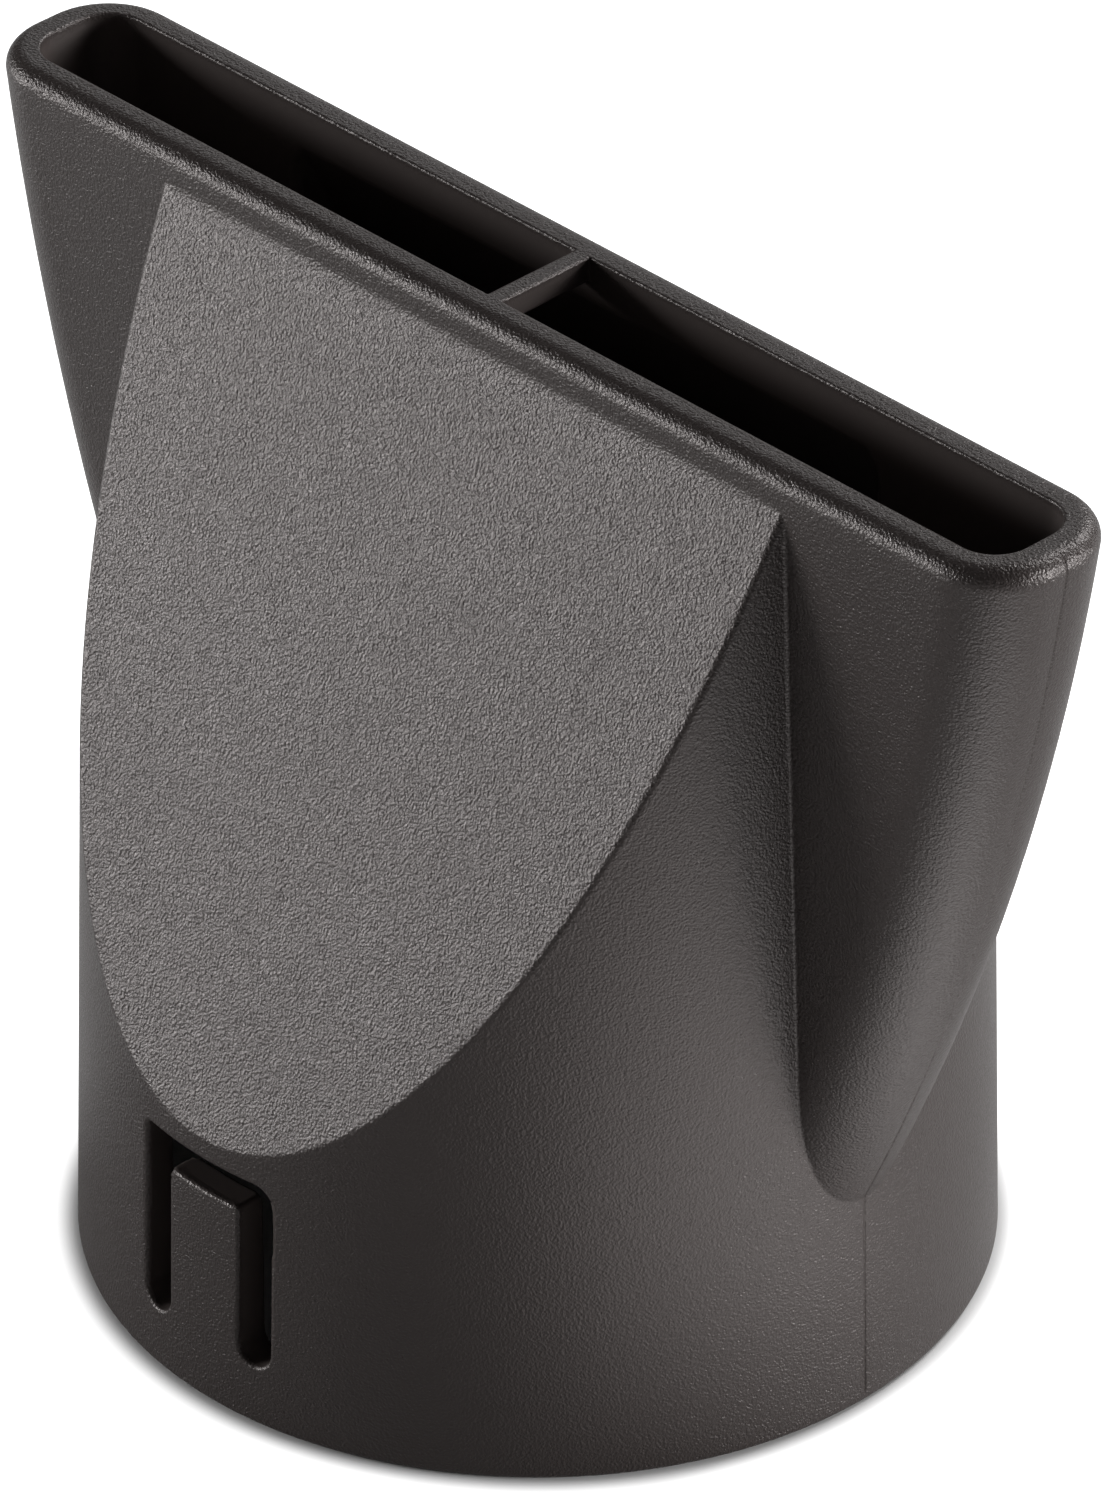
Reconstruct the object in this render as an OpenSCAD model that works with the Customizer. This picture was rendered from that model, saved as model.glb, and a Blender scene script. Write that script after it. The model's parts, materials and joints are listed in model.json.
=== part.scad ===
// Hair dryer nozzle: one moulded piece that pushes onto the dryer's mouth
// and spreads the round air stream into a flat one.
// Sizes in mm. The foot stands on Z = 0, the slot runs along X, and a
// snap tongue is in the middle of the front, at -Y.

/* [Barrel] */

// Outside diameter at the foot
barrel_od = 54; // [50:0.5:60]
// Bore that goes over the mouth of the dryer
bore_d = 49.2; // [44:0.1:49.6]
// How far the mouth of the dryer goes in
bore_depth = 14.5; // [12:0.1:16]
// Step at the end of the bore that stops the mouth
stop_step = 0.3; // [0.1:0.05:1]
// Thickness of the walls above the bore
wall = 2.1; // [1.6:0.1:2.6]
// Thickness of the walls at the ends of the wings
end_wall = 2.3; // [1.6:0.1:2.6]
// Slope of the outside, so that the mould opens
draft = 1.31; // [0.5:0.01:2]
// Round outer edge of the foot
foot_round = 0.4; // [0.2:0.1:1]
// Lead-in at the mouth of the bore
mouth_chamfer = 0.4; // [0.2:0.1:1]

/* [Flat faces] */

// Height at which the two flat faces leave the barrel
face_start = 17.85; // [17:0.05:24]
// How far under the rim they run into the fan
face_drop = 2.3; // [1.6:0.1:5]

/* [Fan and slot] */

// Height of the whole nozzle
height = 63.9; // [58:0.1:72]
// Length of the air slot
slot_length = 78.1; // [70:0.1:86]
// Width of the air slot
slot_width = 6.8; // [5:0.1:8]
// Height at which the wings leave the barrel
wing_start = 14.2; // [13:0.1:20]
// Thickness of the wings where they leave the barrel
wing_foot = 9.4; // [9:0.1:10.5]
// How far the ends of the wings bow out of a straight line
wing_bow = 2; // [0.6:0.1:4]
// Round corners of the wings, outside
wing_round = 4.7; // [3.2:0.1:5]
// Round outer edge of the rim
rim_round = 1.15; // [0.4:0.05:1.5]
// Fillet between a wing and the barrel
root_fillet = 1; // [0.5:0.1:2]

/* [Rib across the slot] */

// Thickness of the rib
rib_width = 1.4; // [1:0.1:2.5]
// Depth of the rib
rib_depth = 1.6; // [1:0.1:6]
// Round upper edge on its far side
rib_round = 0.5; // [0.2:0.1:0.8]

/* [Snap tongues] */

// Width of a tongue
tongue_width = 5.7; // [4:0.1:8]
// Height of a tongue's free end
tongue_top = 14.4; // [10:0.1:14.6]
// Height of the round ends of the slots, where a tongue is rooted
tongue_root = 4; // [3:0.1:6]
// Width of the slot on each side of a tongue
side_gap = 2.25; // [1.5:0.05:3]
// Gap above the free end
top_gap = 2; // [1:0.1:2.2]
// Round upper corner of the window on the -X side
corner_near = 0.5; // [0.2:0.1:1.4]
// Round upper corner of the window on the +X side
corner_far = 1.2; // [0.2:0.1:1.4]
// Round corners of the free end
tongue_round = 0.3; // [0.1:0.1:1]

/* [Hidden] */

$fn = 96;

barrel_r = barrel_od / 2;
bore_r = bore_d / 2;
rim_x = slot_length / 2 + end_wall;
rim_y = slot_width / 2 + wall;
// slices of the fan from its foot to its rim, steps of a quarter round
slices = 14;
arc_steps = 10;
edge_steps = 5;
past = 1;
// how far the fillets are sunk into what they join
sink = 0.03;

// outside radius of the barrel at height z
function barrel_at(z) = barrel_r - max(0, z - foot_round) * tan(draft);

// The ends of the wings follow an arc from the barrel to the rim.
wing_x = barrel_at(wing_start);
chord_x = rim_x - wing_x;
chord_z = height - wing_start;
chord = norm([chord_x, chord_z]);
bow_r = (chord * chord / 4 + wing_bow * wing_bow) / (2 * wing_bow);
bow_cx = (rim_x + wing_x) / 2 - (bow_r - wing_bow) * chord_z / chord;
bow_cz = (height + wing_start) / 2 + (bow_r - wing_bow) * chord_x / chord;

// reach of the fan along X at height z, less an inset measured square to it
function fan_x(z, inset) = bow_cx + sqrt(pow(bow_r - inset, 2) - pow(z - bow_cz, 2));

// half thickness of the fan at height z
function fan_y(z) = wing_foot / 2
    + (rim_y - wing_foot / 2) * (z - wing_start) / (height - wing_start);

// round corners of the fan at height z, a full round where a wing is thin
function fan_round(z) = min(wing_round, fan_y(z) - 0.1);

// The flat faces run from the barrel to the front of the fan.
face_end = height - face_drop;
face_slope = (barrel_at(face_start) - fan_y(face_end)) / (face_end - face_start);
face_wall = wall * norm([1, face_slope]);

// a rectangle with round corners, as points at height z
function round_slice(x, y, r, z) = [
    for (corner = [[1, 1, 0], [-1, 1, 90], [-1, -1, 180], [1, -1, 270]])
        for (i = [0:arc_steps])
            let (a = corner[2] + 90 * i / arc_steps)
                [corner[0] * (x - r) + r * cos(a), corner[1] * (y - r) + r * sin(a), z]
];

// a solid through a stack of slices that all have the same number of points
module loft(stack) {
    n = len(stack[0]);
    last = (len(stack) - 1) * n;
    polyhedron(
        points = [for (slice = stack) each slice],
        faces = concat(
            [[for (i = [0:n - 1]) i]],
            [for (s = [0:len(stack) - 2]) for (i = [0:n - 1])
                let (a = s * n + i, b = s * n + (i + 1) % n)
                    each [[a, b + n, b], [a, a + n, b + n]]],
            [[for (i = [n - 1:-1:0]) last + i]]
        ),
        convexity = 6
    );
}

// outside of the fan, with the round edge of the rim on top
module fan_outside() {
    foot = wing_start - 3;
    shoulder = height - rim_round;
    loft(concat(
        [for (i = [0:slices])
            let (z = foot + (shoulder - foot) * i / slices)
                round_slice(fan_x(z, 0), fan_y(z), fan_round(z), z)],
        [for (i = [1:edge_steps])
            let (a = 90 * i / edge_steps, z = shoulder + rim_round * sin(a),
                inset = rim_round * (1 - cos(a)))
                round_slice(fan_x(z, 0) - inset, fan_y(z) - inset, fan_round(z) - inset, z)]
    ));
}

// inside of the fan, one wall further in, open at the slot
module fan_inside() {
    foot = wing_start - 3;
    loft([for (i = [0:slices])
        let (z = foot + (height + past - foot) * i / slices)
            round_slice(fan_x(z, end_wall), fan_y(z) - wall,
                fan_round(z) - max(wall, end_wall), z)]);
}

// one slice of the fillet in the corner between a wing and the barrel
function fillet_slice(z) =
    let (
        r = barrel_at(z) - sink, f = root_fillet, y = fan_y(z) - sink,
        nose_r = fan_round(z) - sink,
        nose_x = fan_x(z, 0) - fan_round(z), nose_y = fan_y(z) - fan_round(z),
        // centre of a fillet that touches the flat side of the wing
        side_c = [sqrt(pow(r + f, 2) - pow(y + f, 2)), y + f],
        // or one that touches its round nose
        gap = norm([nose_x, nose_y]), reach = nose_r + f,
        along = (pow(r + f, 2) - reach * reach + gap * gap) / (2 * gap),
        across = sqrt(max(0, pow(r + f, 2) - along * along)),
        nose_c = [(along * nose_x - across * nose_y) / gap,
            (along * nose_y + across * nose_x) / gap],
        on_side = side_c[0] < nose_x,
        c = on_side ? side_c : nose_c,
        from = on_side ? -90 : atan2(nose_y - c[1], nose_x - c[0]),
        to = atan2(-c[1], -c[0]),
        sweep = ((from - to) % 360 + 360) % 360,
        foot_pt = c * r / (r + f),
        inner = [min(c[0], foot_pt[0]) - 1.2 * f, foot_pt[1] - 1.2 * f]
    )
    concat(
        [[inner[0], max(0.2, inner[1]), z]],
        [for (i = [0:edge_steps])
            let (a = from - sweep * i / edge_steps)
                [c[0] + f * cos(a), c[1] + f * sin(a), z]]
    );

module root_fillets() {
    low = wing_start + 0.4;
    high = face_end + 0.5;
    for (x = [0, 1])
        for (y = [0, 1])
            mirror([x, 0, 0])
                mirror([0, y, 0])
                    loft([for (i = [0:slices])
                        fillet_slice(low + (high - low) * i / slices)]);
}

// the barrel as a solid of revolution, with the round edge of its foot
module barrel_outside() {
    top = height - rim_round;
    rotate_extrude() {
        polygon([[0, foot_round], [barrel_r, foot_round], [barrel_at(top), top], [0, top]]);
        square([barrel_r - foot_round, 2 * foot_round]);
        translate([barrel_r - foot_round, foot_round])
            circle(foot_round);
    }
}

// the space between the two sloping faces, brought in by an inset
module between_faces(inset) {
    low = -past;
    high = height + past;
    function face_y(z) = barrel_at(face_start) - inset - (z - face_start) * face_slope;
    rotate([90, 0, 90])
        linear_extrude(2 * barrel_od, center = true)
            polygon([[-face_y(low), low], [face_y(low), low],
                [face_y(high), high], [-face_y(high), high]]);
}

// the bore, the step that stops the dryer's mouth, and the chamber above
module barrel_inside() {
    chamber_r = bore_r - stop_step;
    cylinder(h = mouth_chamfer, r1 = bore_r + mouth_chamfer, r2 = bore_r);
    translate([0, 0, -past])
        cylinder(h = bore_depth + past, r = bore_r);
    intersection() {
        translate([0, 0, bore_depth - past])
            cylinder(h = height - bore_depth + past,
                r1 = chamber_r, r2 = min(chamber_r, barrel_at(height) - wall));
        between_faces(face_wall);
    }
}

// outline of the window round a tongue, seen from the front
module window_outline() {
    half = tongue_width / 2 + side_gap;
    top = tongue_top + top_gap;
    middle = tongue_root + side_gap / 2;
    round_end = max(corner_near, corner_far);
    translate([-half, middle])
        square([2 * half, top - round_end - middle]);
    translate([corner_near - half, middle])
        square([2 * half - corner_near - corner_far, top - middle]);
    translate([-half, middle])
        square([half, top - corner_near - middle]);
    translate([0, middle])
        square([half, top - corner_far - middle]);
    translate([corner_near - half, top - corner_near])
        circle(corner_near);
    translate([half - corner_far, top - corner_far])
        circle(corner_far);
    for (side = [-1, 1])
        translate([side * (half - side_gap / 2), middle])
            circle(side_gap / 2);
}

// outline of a tongue, which stays joined to the barrel at its root
module tongue_outline() {
    translate([-tongue_width / 2, 0])
        square([tongue_width, tongue_top - tongue_round]);
    translate([tongue_round - tongue_width / 2, 0])
        square([tongue_width - 2 * tongue_round, tongue_top]);
    for (side = [-1, 1])
        translate([side * (tongue_width / 2 - tongue_round), tongue_top - tongue_round])
            circle(tongue_round);
}

// the cut that frees the tongue in the front and the one in the back
module tongue_cuts() {
    rotate([90, 0, 0])
        linear_extrude(barrel_od + 2 * past, center = true)
            difference() {
                window_outline();
                tongue_outline();
            }
}

// the rib that ties the two long sides of the slot together
module rib() {
    depth = min(rib_depth, height - face_end + 2 * wall);
    rotate([90, 0, 0])
        linear_extrude(slot_width + wall, center = true) {
            translate([-rib_width / 2, height - depth])
                square([rib_width, depth - rib_round]);
            translate([rib_round - rib_width / 2, height - depth])
                square([rib_width - rib_round, depth]);
            translate([rib_round - rib_width / 2, height - rib_round])
                circle(rib_round);
        }
}

module nozzle() {
    color("#3a3634") {
        difference() {
            union() {
                intersection() {
                    union() {
                        barrel_outside();
                        root_fillets();
                    }
                    between_faces(0);
                }
                fan_outside();
            }
            barrel_inside();
            fan_inside();
            tongue_cuts();
        }
        rib();
    }
}

nozzle();
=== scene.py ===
import json
import math

import bpy
import numpy as np
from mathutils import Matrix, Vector


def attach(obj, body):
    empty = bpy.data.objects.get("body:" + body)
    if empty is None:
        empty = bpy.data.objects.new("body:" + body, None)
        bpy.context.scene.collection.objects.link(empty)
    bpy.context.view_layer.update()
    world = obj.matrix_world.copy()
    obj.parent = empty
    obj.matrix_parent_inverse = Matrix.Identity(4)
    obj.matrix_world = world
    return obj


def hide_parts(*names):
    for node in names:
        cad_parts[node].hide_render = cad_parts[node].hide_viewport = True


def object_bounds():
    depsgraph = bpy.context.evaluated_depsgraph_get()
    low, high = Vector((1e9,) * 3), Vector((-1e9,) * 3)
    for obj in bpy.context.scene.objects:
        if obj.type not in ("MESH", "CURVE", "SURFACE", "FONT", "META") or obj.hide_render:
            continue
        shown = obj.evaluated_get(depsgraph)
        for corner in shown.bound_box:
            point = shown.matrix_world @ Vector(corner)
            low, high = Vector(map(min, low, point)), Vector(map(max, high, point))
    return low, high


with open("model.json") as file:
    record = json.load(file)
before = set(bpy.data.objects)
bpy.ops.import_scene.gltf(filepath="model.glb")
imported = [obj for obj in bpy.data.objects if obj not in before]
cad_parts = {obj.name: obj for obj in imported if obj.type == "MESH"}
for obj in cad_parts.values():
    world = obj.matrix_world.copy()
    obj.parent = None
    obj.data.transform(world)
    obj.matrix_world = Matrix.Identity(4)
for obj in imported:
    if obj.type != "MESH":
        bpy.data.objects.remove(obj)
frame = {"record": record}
cad_low, cad_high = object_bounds()


# The nozzle is one injection moulding in charcoal plastic. Its barrel pushes onto the dryer's
# mouth, two flat faces and two wings squeeze the round bore into a long slot, a rib ties the
# slot's sides together, and a snap tongue is cut free in the front and in the back.
MM = 0.001
bore = next(mount for mount in frame["record"]["mounts"] if mount["name"] == "bore")

barrel_radius = (cad_high.y - cad_low.y) / 2 / MM
height = (cad_high.z - cad_low.z) / MM
bore_radius = bore["dims"]["r_mm"]
bore_depth = 14.5
stop_step = 0.3
mouth_chamfer = 0.4
wall = 2.1
end_wall = 2.3
draft = math.radians(1.31)
foot_round = 0.4

face_start = 17.85
face_drop = 2.3
slot_length = 78.1
slot_width = 6.8
wing_start = 14.2
wing_foot = 9.4
wing_bow = 2.0
wing_round = 4.7
rim_round = 1.15

rib_width = 1.4
rib_depth = 1.6
rib_round = 0.5

tongue_width = 5.7
tongue_top = 14.4
tongue_root = 4.0
side_gap = 2.25
top_gap = 2.0
corner_near = 0.5
corner_far = 1.2
tongue_round = 0.3

# radii that the mould leaves on the edges and in the corners
face_edge = 0.45
root_fillet = 0.2
crease_fillet = 1.6
crease_rise = 3.0
lip_edge = 0.16
window_edge = 0.25
worn_edge = 0.45
inner_corner = 0.8
fine_edge = 0.12

# the witness line where the two halves of the mould meet
parting_depth = 0.08
parting_width = 0.07

# the fine spark-eroded grain of the outside, which fades out just inside the edges
grain_size = 0.14
grain_height = 0.09
grain_fade = 0.5
cloud_size = 9.0
rough_grained = 0.34
rough_smooth = 0.5
charcoal = (0.032, 0.026, 0.0245, 1)
# painted light: the smooth inside gets a lighter colour than the charcoal, which stands in for the light that
# reaches the bore and chamber
chamber_painted_light = (0.055, 0.044, 0.041, 1)


class Form:
    """How far points lie outside a surface, with the direction straight away from it there."""

    def __init__(self, reach, away):
        self.reach = reach
        self.away = away / np.linalg.norm(away, axis=1, keepdims=True)

    def __neg__(self):
        return Form(-self.reach, -self.away)


def where_form(mask, one, other):
    return Form(np.where(mask, one.reach, other.reach), np.where(mask[:, None], one.away, other.away))


def both(one, other, radius):
    """What two forms share. A ball of the given radius rolls along the edge where they meet."""
    tilt = np.clip(np.sum(one.away * other.away, axis=1), -0.9, 0.9995)
    a = one.reach + radius
    b = other.reach + radius
    share_a = (a - tilt * b) / (1 - tilt**2)
    share_b = (b - tilt * a) / (1 - tilt**2)
    on_edge = (share_a > 0) & (share_b > 0) & (tilt > -0.9)
    span = share_a[:, None] * one.away + share_b[:, None] * other.away
    size = np.linalg.norm(span, axis=1)
    on_edge &= size > 1e-9
    span[~on_edge] = one.away[~on_edge]
    plain = where_form(one.reach > other.reach, one, other)
    return where_form(on_edge, Form(size - radius, span), plain)


def either(one, other, radius):
    """Two forms joined, with a fillet in the corner where they meet."""
    return -both(-one, -other, radius)


def plane(points, point, away):
    away = np.array(away, float) / np.linalg.norm(away)
    reach = (points - np.array(point, float)) @ away
    return Form(reach, np.repeat(away[None], len(points), axis=0))


def upright(points, foot_radius, lean):
    """A round wall about the Z axis that leans in by an angle as it rises."""
    x, y, z = points.T
    radius = np.maximum(np.hypot(x, y), 1e-6)
    away = np.stack([x / radius, y / radius, np.full(len(x), math.tan(lean))], axis=1)
    return Form((radius - foot_radius + z * math.tan(lean)) * math.cos(lean), away)


def barrel_at(z):
    return barrel_radius - np.maximum(0.0, z - foot_round) * math.tan(draft)


rim_x = slot_length / 2 + end_wall
rim_y = slot_width / 2 + wall
chord_x = rim_x - barrel_at(wing_start)
chord_z = height - wing_start
chord = math.hypot(chord_x, chord_z)
bow_radius = (chord**2 / 4 + wing_bow**2) / (2 * wing_bow)
bow_x = (rim_x + barrel_at(wing_start)) / 2 - (bow_radius - wing_bow) * chord_z / chord
bow_z = (height + wing_start) / 2 + (bow_radius - wing_bow) * chord_x / chord
side_slope = (rim_y - wing_foot / 2) / chord_z
face_end = height - face_drop
face_end_y = wing_foot / 2 + side_slope * (face_end - wing_start)
face_slope = (barrel_at(face_start) - face_end_y) / (face_end - face_start)
face_wall = wall * math.hypot(1, face_slope)


def fan(points, side_inset, end_inset):
    """The flat fan with its round nose at each end, one wall further in for its inside."""
    x, y, z = points.T
    z = np.clip(z, 0, height + 5)
    depth = np.sqrt((bow_radius - end_inset) ** 2 - (z - bow_z) ** 2)
    reach_x = bow_x + depth
    reach_y = wing_foot / 2 + side_slope * (z - wing_start)
    nose = np.minimum(wing_round, reach_y - 0.1) - max(side_inset, end_inset)
    over_x = np.abs(x) - (reach_x - nose)
    over_y = np.abs(y) - (reach_y - side_inset - nose)
    corner = np.hypot(np.maximum(over_x, 0), np.maximum(over_y, 0))
    flat_x = (over_x > over_y).astype(float)
    in_corner = corner > 1e-6
    safe = np.where(in_corner, corner, 1)
    away_x = np.where(in_corner, np.maximum(over_x, 0) / safe, flat_x)
    away_y = np.where(in_corner, np.maximum(over_y, 0) / safe, 1 - flat_x)
    lean = away_x * (bow_z - z) / depth + away_y * side_slope
    reach = corner + np.minimum(np.maximum(over_x, over_y), 0) - nose
    away = np.stack([away_x * np.sign(x), away_y * np.sign(y), -lean], axis=1)
    away[(away_x * np.abs(np.sign(x)) + away_y * np.abs(np.sign(y))) == 0, 0] = 1
    return Form(reach / np.hypot(1, lean), away)


def flat_faces(points, inset):
    """The space between the two sloping faces."""
    side = np.where(points[:, 1] < 0, -1.0, 1.0)
    across = np.hypot(1, face_slope)
    start = barrel_at(face_start) - inset
    reach = (points[:, 1] * side - start + (points[:, 2] - face_start) * face_slope) / across
    away = np.stack([0 * side, side, np.full(len(side), face_slope)], axis=1)
    return Form(reach, away)


def tongue_cut(points):
    """The cut round a tongue: a slot on each side with a round end, joined above its free end."""
    x, y, z = points.T
    side = np.where(x < 0, -1.0, 1.0)
    half = tongue_width / 2 + side_gap
    middle = half - side_gap / 2
    off_x = np.abs(x) - middle
    off_z = np.minimum(z - (tongue_root + side_gap / 2), 0)
    off = np.maximum(np.hypot(off_x, off_z), 1e-6)
    slots = Form(off - side_gap / 2, np.stack([side * off_x, 0 * x, off_z], axis=1) / off[:, None])
    over = plane(points, (0, 0, tongue_top), (0, 0, -1))
    ends = Form(np.abs(x) - half, np.stack([side, 0 * x, 0 * x], axis=1))
    roof = plane(points, (0, 0, tongue_top + top_gap), (0, 0, 1))
    frame_round = np.where(x < 0, corner_near, corner_far)
    return both(either(slots, over, tongue_round), both(ends, roof, frame_round), 0)


def rib(points):
    """The rib across the middle of the slot, square towards +X and round towards -X."""
    top = plane(points, (0, 0, height - 0.002), (0, 0, 1))
    foot = plane(points, (0, 0, height - rib_depth), (0, 0, -1))
    right = plane(points, (rib_width / 2, 0, 0), (1, 0, 0))
    left = plane(points, (-rib_width / 2, 0, 0), (-1, 0, 0))
    ends = Form(np.abs(points[:, 1]) - rim_y + wall / 2,
                np.stack([0 * points[:, 0], np.where(points[:, 1] < 0, -1.0, 1.0), 0 * points[:, 0]], axis=1))
    bar = both(both(top, left, rib_round), foot, fine_edge)
    return both(both(bar, right, fine_edge), ends, fine_edge)


def outside(points):
    """The barrel with its flat faces and the fan, solid, before it is hollowed."""
    z = points[:, 2]
    cone = upright(points, barrel_radius + foot_round * math.tan(draft), draft)
    faces = flat_faces(points, 0)
    crease = np.clip((faces.reach - cone.reach) / 2, 0, 1) * np.clip((z - face_end) / crease_rise + 1, 0, 1)
    fillet = root_fillet + (crease_fillet - root_fillet) * crease
    shape = either(both(cone, faces, face_edge), fan(points, 0, 0), fillet)

    shape = both(shape, plane(points, (0, 0, height), (0, 0, 1)), rim_round)
    return both(shape, plane(points, (0, 0, 0), (0, 0, -1)), foot_round)


def inside(points):
    """The bore with its lead-in, the stop step, and the chamber that narrows to the slot."""
    socket = both(upright(points, bore_radius, 0),
                  plane(points, (0, 0, bore_depth), (0, 0, 1)), fine_edge)
    lead_in = upright(points, bore_radius + mouth_chamfer, math.radians(45))
    socket = either(socket, lead_in, fine_edge)
    lean = math.atan((bore_radius - stop_step - barrel_at(height) + wall) / (height - bore_depth))
    chamber = upright(points, bore_radius - stop_step + bore_depth * math.tan(lean), lean)
    chamber = both(chamber, flat_faces(points, face_wall), inner_corner)
    chamber = either(chamber, fan(points, wall, end_wall), inner_corner)
    above = plane(points, (0, 0, bore_depth - 2), (0, 0, -1))
    return either(socket, both(chamber, above, fine_edge), fine_edge)


def nozzle_part(points):
    """The whole moulding, as a form."""
    x, y, z = points.T
    lip = np.where(z > bore_depth + face_start, lip_edge, fine_edge)
    cut_edge = window_edge + (worn_edge - window_edge) * np.clip(-x / side_gap - 1.9, 0, 1)
    body = both(outside(points), -inside(points), lip)
    body = both(body, -tongue_cut(points), cut_edge)
    return either(body, rib(points), fine_edge)


def nozzle(points):
    """The moulding round any number of points, worked out some at a time to save memory."""
    parts = [nozzle_part(some) for some in np.array_split(points, len(points) // 40000 + 1)]
    return Form(np.concatenate([part.reach for part in parts]), np.concatenate([part.away for part in parts]))


def net(form, low, high, cell):
    """A closed mesh of quads through a grid of cells: one point in each cell that the form's
    surface passes through, and one quad round each grid edge that it crosses."""
    axes = [np.arange(a, b + cell, cell) for a, b in zip(low, high)]
    grid = np.stack(np.meshgrid(*axes, indexing="ij"), axis=-1)
    shape = grid.shape[:3]
    reach = form(grid.reshape(-1, 3)).reach.reshape(shape)
    inner = reach < 0
    cells = tuple(n - 1 for n in shape)

    def corner(values, i, j, k):
        return values[i:i + cells[0], j:j + cells[1], k:k + cells[2]]

    total = np.zeros(cells + (3,))
    count = np.zeros(cells)
    for axis in range(3):
        step = np.eye(3, dtype=int)[axis]
        for u in (0, 1):
            for v in (0, 1):
                start = np.insert(np.array([u, v]), axis, 0)
                end = start + step
                a = corner(reach, *start)
                b = corner(reach, *end)
                crossed = corner(inner, *start) != corner(inner, *end)
                share = np.where(crossed, a / np.where(crossed, a - b, 1), 0)
                total += crossed[..., None] * (start + share[..., None] * step)
                count += crossed
    used = count > 0
    number = np.full(cells, -1)
    number[used] = np.arange(used.sum())
    origin = np.array([a[0] for a in axes])
    places = np.argwhere(used) + total[used] / count[used][:, None]
    quads = []
    for axis in range(3):
        u, v = [a for a in range(3) if a != axis]
        head = [slice(1, -1)] * 3
        head[axis] = slice(0, -1)
        tail = list(head)
        tail[axis] = slice(1, None)
        a = inner[tuple(head)]
        b = inner[tuple(tail)]
        spots = np.argwhere(a != b)
        leaves = a[a != b] != (axis == 1)
        spots[:, [n for n in range(3) if n != axis]] += 1
        ring = []
        for du, dv in ((-1, -1), (0, -1), (0, 0), (-1, 0)):
            shift = np.zeros(3, int)
            shift[u] = du
            shift[v] = dv
            ring.append(number[tuple((spots + shift).T)])
        ring = np.stack(ring, axis=1)
        quads.append(np.where(leaves[:, None], ring, ring[:, ::-1]))
    return origin + places * cell, np.concatenate(quads)


def settle(points, form, rounds=4):
    for _ in range(rounds):
        found = form(points)
        points = points - found.reach[:, None] * found.away
    return points


def even_out(points, triangles, form, rounds):
    """Slides the points along the surface until they lie evenly."""
    edges = np.concatenate([triangles[:, [0, 1]], triangles[:, [1, 2]], triangles[:, [2, 0]]])
    edges = np.unique(np.sort(edges, axis=1), axis=0)
    degree = np.bincount(edges.ravel(), minlength=len(points))[:, None]
    for _ in range(rounds):
        total = np.zeros_like(points)
        np.add.at(total, edges[:, 0], points[edges[:, 1]])
        np.add.at(total, edges[:, 1], points[edges[:, 0]])
        move = total / degree - points
        away = form(points).away
        move -= np.sum(move * away, axis=1)[:, None] * away
        points = settle(points + 0.5 * move, form, 2)
    return points


def split(points, triangles, edges, number, length, halved, fresh):
    """Cuts the marked edges at the fresh points, and the triangles on them into two, three or four."""
    place = np.cumsum(halved) - 1 + len(points)
    marks = halved[number]
    count = marks.sum(axis=1)
    made = [triangles[count == 0]]
    for first in range(3):
        order = [(first + k) % 3 for k in range(3)]
        mark = marks[:, order]
        wide = length[number][:, order]
        a, b, c = triangles[:, order].T
        ab, bc, ca = place[number][:, order].T
        one = (count == 1) & mark[:, 0]
        two = (count == 2) & ~mark[:, 2]
        left = two & (wide[:, 0] >= wide[:, 1])
        right = two & ~left
        three = (count == 3) & (first == 0)
        for where, corners in ((one, (a, ab, c)), (one, (ab, b, c)), (two, (ab, b, bc)),
                               (left, (a, ab, c)), (left, (ab, bc, c)),
                               (right, (a, ab, bc)), (right, (a, bc, c)),
                               (three, (a, ab, ca)), (three, (ab, b, bc)),
                               (three, (ca, bc, c)), (three, (ab, bc, ca))):
            made.append(np.stack(corners, axis=1)[where])
    return np.concatenate([points, fresh]), np.concatenate(made)


def edges_of(points, triangles):
    sides = np.stack([triangles[:, [0, 1]], triangles[:, [1, 2]], triangles[:, [2, 0]]], axis=1)
    edges, number = np.unique(np.sort(sides.reshape(-1, 2), axis=1), axis=0, return_inverse=True)
    ends = points[edges]
    return edges, number.reshape(-1, 3), ends, np.linalg.norm(ends[:, 0] - ends[:, 1], axis=1)


def refine(points, triangles, form, sag, turn, stray, shortest):
    """Halves each edge whose middle lies off the surface, whose ends face different ways, or
    whose middle faces another way than its ends would give. A triangle's longest edge is
    halved first, so that none becomes a sliver."""
    edges, number, ends, length = edges_of(points, triangles)
    halfway = ends.mean(axis=1)
    middle = form(halfway)
    away = form(points).away
    facing = np.sum(away[edges[:, 0]] * away[edges[:, 1]], axis=1)
    between = Form(length, away[edges].sum(axis=1) + 1e-9).away
    astray = np.sum(between * middle.away, axis=1)
    inward = np.sum(middle.away[:, :2] * halfway[:, :2], axis=1) < 0
    unseen = np.where(inward & (halfway[:, 2] < height - rim_depth), 2.0, 1.0)
    halved = (np.abs(middle.reach) > sag * unseen) | (facing < math.cos(turn))
    halved |= astray < np.cos(stray * unseen)
    halved &= length > shortest * unseen
    longest = number[np.arange(len(number)), np.argmax(length[number], axis=1)]
    while True:
        touched = halved[number].any(axis=1)
        missing = touched & ~halved[longest]
        if not missing.any():
            break
        halved[longest[missing]] = True
    return split(points, triangles, edges, number, length, halved, settle(halfway[halved], form))


def score(points, triangles, level):
    """Cuts the triangles on the outside of the wings' ends along a line at one distance from the middle."""
    edges, number, ends, length = edges_of(points, triangles)
    before, after = ends[:, 0, 1] - level, ends[:, 1, 1] - level
    crossed = (before * after < 0) & (np.abs(ends[:, :, 0]).min(axis=1) > barrel_radius - 1.5)
    share = (before / np.where(crossed, before - after, 1))[:, None]
    fresh = ends[:, 0] + share * (ends[:, 1] - ends[:, 0])
    return split(points, triangles, edges, number, length, crossed, fresh[crossed])


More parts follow.
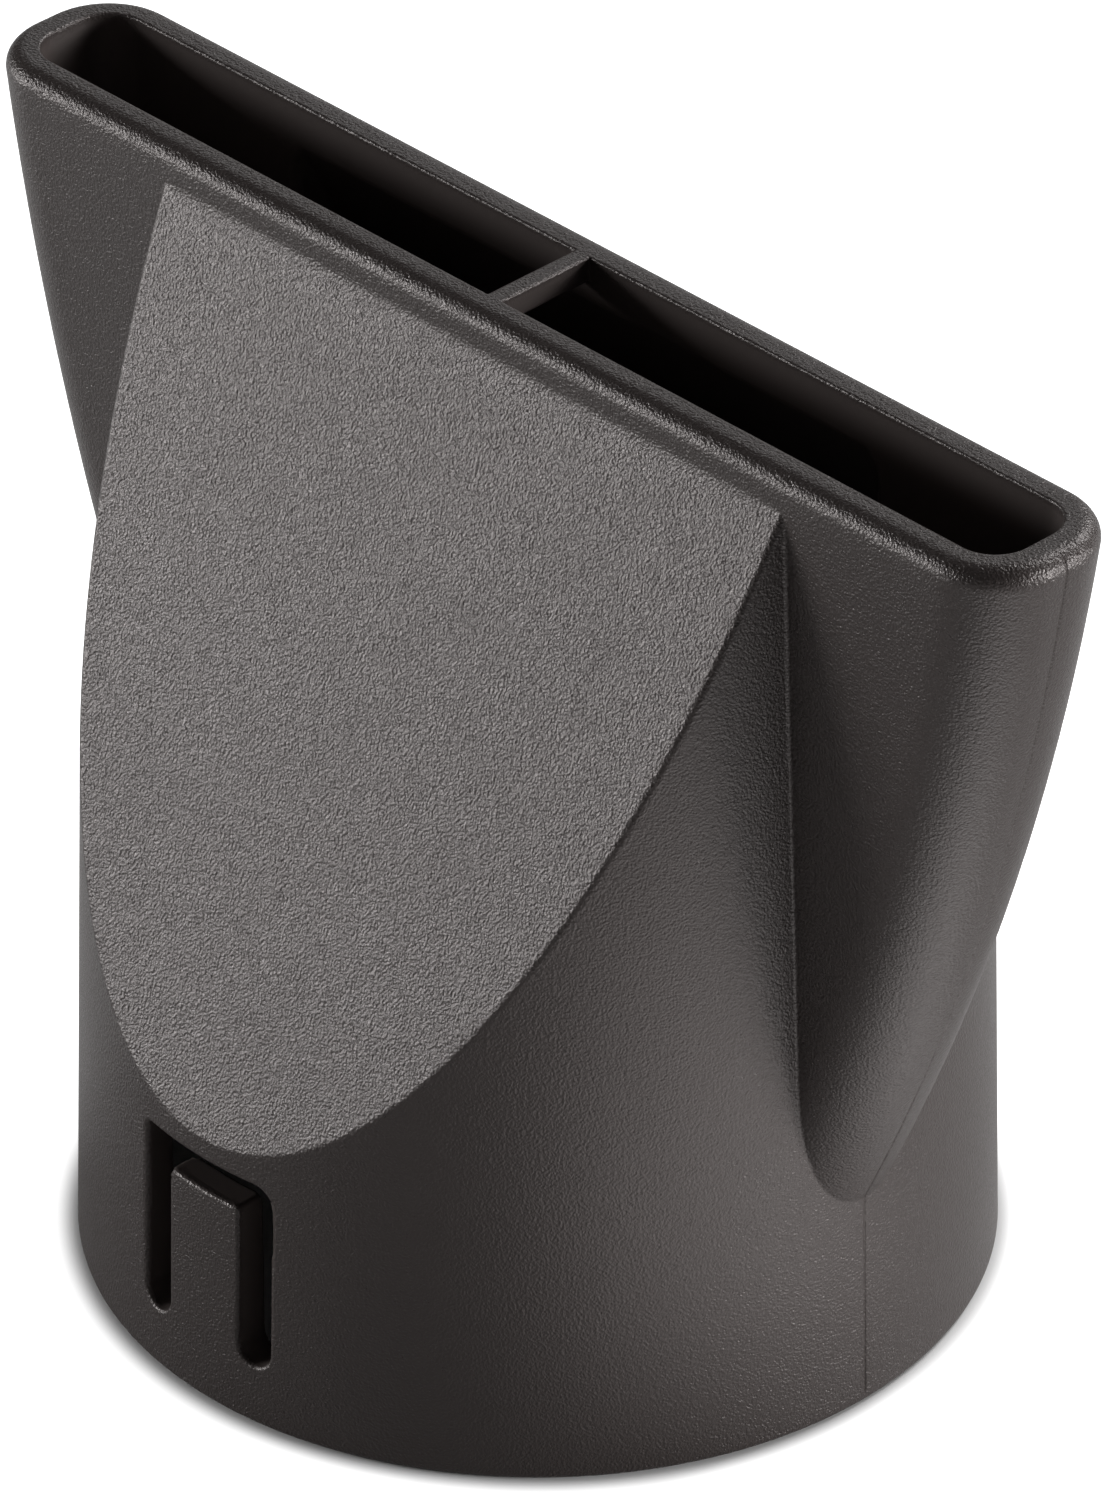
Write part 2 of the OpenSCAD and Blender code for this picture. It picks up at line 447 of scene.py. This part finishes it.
cell = 1.1
rim_depth = 5.0
margin = 1.3
lowest = np.array([cad_low.x, cad_low.y, cad_low.z]) / MM - margin
highest = np.array([cad_high.x, cad_high.y, cad_high.z]) / MM + margin
points, quads = net(nozzle, lowest, highest, cell)
triangles = np.concatenate([quads[:, [0, 1, 2]], quads[:, [0, 2, 3]]])
points = even_out(settle(points, nozzle), triangles, nozzle, 3)
for sag, turn, stray, shortest in ((0.03, 30, 8, 0.5), (0.02, 28, 6, 0.3),
                                   (0.014, 26, 6, 0.2), (0.013, 26, 6, 0.16)):
    points, triangles = refine(points, triangles, nozzle, sag, math.radians(turn),
                               math.radians(stray), shortest)
for level in (-2, -0.8, 0, 0.8, 2):
    points, triangles = score(points, triangles, level * parting_width + 1e-4)
points = settle(points, nozzle)
away = nozzle(points).away
x, y, z = points.T
on_outside = (np.abs(x) > barrel_at(z) - 0.3) & (x * away[:, 0] > 0)
line = parting_depth * np.exp(-((y / parting_width) ** 2)) * on_outside
line *= np.clip((height - z) / rim_round, 0, 1) * np.clip(z / foot_round - 1, 0, 1)
points = points - line[:, None] * away
away[:, 1] -= 2 * y / parting_width**2 * line
mesh = bpy.data.meshes.new("nozzle_moulding")
mesh.from_pydata((points * MM).tolist(), [], triangles.tolist())
mesh.validate()
mesh.shade_smooth()
mesh.normals_split_custom_set_from_vertices(Form(points[:, 0], away).away.tolist())
moulding = bpy.data.objects.new("nozzle_moulding", mesh)
bpy.context.scene.collection.objects.link(moulding)
grained = mesh.attributes.new("grained", "FLOAT", "POINT")
grained.data.foreach_set("value", np.clip(1 + outside(points).reach / grain_fade, 0, 1))


class Wire:
    """A shader socket, so that an expression on wires adds its Math nodes to the material."""

    def __init__(self, tree, socket):
        self.tree = tree
        self.socket = socket

    def node(self, kind, settings, values, output=0):
        """Any other node: its settings come first, then its sockets' values and links."""
        made = self.tree.nodes.new(kind)
        for name, setting in settings.items():
            setattr(made, name, setting)
        for name, value in values.items():
            if isinstance(value, Wire):
                self.tree.links.new(value.socket, made.inputs[name])
            else:
                made.inputs[name].default_value = value
        return Wire(self.tree, made.outputs[output])

    def math(self, operation, one, other):
        return self.node("ShaderNodeMath", {"operation": operation}, {0: one, 1: other})

    def __add__(self, other):
        return self.math("ADD", self, other)

    def __sub__(self, other):
        return self.math("SUBTRACT", self, other)

    def __rsub__(self, other):
        return self.math("SUBTRACT", other, self)

    def __mul__(self, other):
        return self.math("MULTIPLY", self, other)

    __radd__ = __add__
    __rmul__ = __mul__

    def tint(self, low, high):
        """A colour between two, by this wire's value."""
        return self.node("ShaderNodeMix", {"data_type": "RGBA"}, {0: self, 6: low, 7: high}, 2)

    def feed(self, shader, name):
        self.tree.links.new(self.socket, shader.inputs[name])


plastic = bpy.data.materials.new("charcoal_plastic")
plastic.use_nodes = True
moulding.data.materials.append(plastic)
skin = plastic.node_tree.nodes["Principled BSDF"]
skin.inputs["Specular IOR Level"].default_value = 0.5
skin.inputs["Specular Tint"].default_value = (1.0, 0.93, 0.915, 1)
spots = plastic.node_tree.nodes.new("ShaderNodeTexCoord").outputs["Object"]
place = Wire(plastic.node_tree, spots)
grain_mask = place.node("ShaderNodeAttribute", {"attribute_name": "grained"}, {}, "Fac")
grain = place.node("ShaderNodeTexNoise", {}, {
    "Vector": place, "Scale": 1 / (grain_size * MM), "Detail": 2.0, "Roughness": 0.55}, "Fac")
pits = place.node("ShaderNodeTexVoronoi", {"feature": "SMOOTH_F1"}, {
    "Vector": place, "Scale": 0.8 / (grain_size * MM), "Smoothness": 0.6}, "Distance")
cloud = place.node("ShaderNodeTexNoise", {}, {
    "Vector": place, "Scale": 1 / (cloud_size * MM), "Detail": 3.0, "Roughness": 0.5}, "Fac")
relief = (grain * 0.6 + pits * 0.4) * grain_mask
relief.node("ShaderNodeBump", {}, {
    "Strength": 1.0, "Distance": grain_height * MM, "Height": relief}, "Normal").feed(skin, "Normal")
# base colour: charcoal on the grained outside, its tone varied at random by the grain; the lighter colour on
# the smooth inside is painted light
(grain_mask * (0.9 + grain * 0.2)).tint(chamber_painted_light, charcoal).feed(skin, "Base Color")
(rough_smooth + (rough_grained - rough_smooth) * grain_mask
 + (cloud - 0.5) * 0.06 + (grain - 0.5) * 0.3 * grain_mask).feed(skin, "Roughness")
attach(moulding, "root")
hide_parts("nozzle")


# The floor is a plain pale sheet. It shows white away from the nozzle. Round the foot, its white glow fades
# out by distance from the middle, a painted contact shadow under which the floor's real shadow from the lamps
# shows.
floor_size = 6.0
# width of the ring of painted contact shadow just outside the foot
painted_shadow_width = 1.6
bpy.ops.mesh.primitive_plane_add(size=floor_size, location=(0, 0, 0))
floor = bpy.context.object
floor.name = "floor"
paper = bpy.data.materials.new("pale_floor")
paper.use_nodes = True
floor.data.materials.append(paper)
sheet = paper.node_tree.nodes["Principled BSDF"]
sheet.inputs["Base Color"].default_value = (0.8, 0.8, 0.8, 1)
sheet.inputs["Specular IOR Level"].default_value = 0.0
sheet.inputs["Emission Strength"].default_value = 1.0
seen = Wire(paper.node_tree, paper.node_tree.nodes.new("ShaderNodeLightPath").outputs["Is Camera Ray"])
spot = seen.node("ShaderNodeTexCoord", {}, {}, "Object")
off_middle = seen.node("ShaderNodeVectorMath", {"operation": "LENGTH"}, {0: spot}, "Value")
# painted contact shadow: the glow seen by the camera fades to nothing from just outside the foot inwards, so
# there and inside the nozzle the floor shows only lamp light and its real shadow
painted_shadow_fade = off_middle.node("ShaderNodeMapRange", {"interpolation_type": "SMOOTHSTEP"}, {
    "Value": off_middle, "From Min": (barrel_radius - 0.2) * MM,
    "From Max": (barrel_radius + painted_shadow_width) * MM})
(seen * painted_shadow_fade).tint((0, 0, 0, 1), (0.95, 0.95, 0.95, 1)).feed(sheet, "Emission Color")

# The light is soft studio light: softboxes on the left and the right, and behind the nozzle.
ambient = 0.05
world = bpy.data.worlds.new("studio")
bpy.context.scene.world = world
world.use_nodes = True
backdrop = world.node_tree.nodes["Background"]
backdrop.inputs["Color"].default_value = (1, 1, 1, 1)
seen = Wire(world.node_tree, world.node_tree.nodes.new("ShaderNodeLightPath").outputs["Is Camera Ray"])
(seen * (1 - ambient) + ambient).feed(backdrop, "Strength")
middle = Vector((0, 0, 30 * MM))
for name, turn, rise, reach, width, power in (
        ("left_softbox", -53, 4, 1.0, 0.4, 10.0),
        ("front_softbox", -30, 4, 1.0, 0.4, 1.0),
        ("right_softbox", 120, 4, 1.0, 0.4, 15.4),
        ("back_softbox", -180, 40, 1.0, 0.4, 6.5),
        ("high_softbox", -135, 20, 1.0, 0.4, 0.6)):
    lamp = bpy.data.lights.new(name, "AREA")
    lamp.energy = power
    lamp.size = width
    softbox = bpy.data.objects.new(name, lamp)
    level = math.cos(math.radians(rise))
    way = Vector((math.sin(math.radians(turn)) * level, -math.cos(math.radians(turn)) * level,
                  math.sin(math.radians(rise))))
    softbox.location = middle + way * reach
    softbox.rotation_euler = way.to_track_quat("Z", "Y").to_euler()
    softbox.visible_camera = False
    bpy.context.scene.collection.objects.link(softbox)

# a lit card that lies on the floor to the right
card_lamp = bpy.data.lights.new("floor_card", "AREA")
card_lamp.energy = 0.011
card_lamp.size = 0.05
card = bpy.data.objects.new("floor_card", card_lamp)
card.location = (62 * MM, -12 * MM, 1 * MM)
card.rotation_euler = (math.pi, 0, 0)
card.visible_camera = False
bpy.context.scene.collection.objects.link(card)

# The camera looks down on the front and the right side through a long lens.
azimuth = math.radians(45.754)
elevation = math.radians(33.116)
distance = 737.97 * MM
right = Vector((math.cos(azimuth), math.sin(azimuth), 0))
back = Vector((math.sin(azimuth) * math.cos(elevation), -math.cos(azimuth) * math.cos(elevation),
               math.sin(elevation)))
aim = right * 0.825 * MM + Vector((0, 0, 32.078 * MM))
lens = bpy.data.cameras.new("camera")
lens.sensor_width = 36
lens.lens = 36 * 12861.5 / 1500
camera = bpy.data.objects.new("camera", lens)
camera.location = aim + back * distance
camera.rotation_euler = back.to_track_quat("Z", "Y").to_euler()
lens.clip_end = 10
bpy.context.scene.collection.objects.link(camera)
bpy.context.scene.camera = camera
bpy.context.scene.view_settings.view_transform = "Standard"
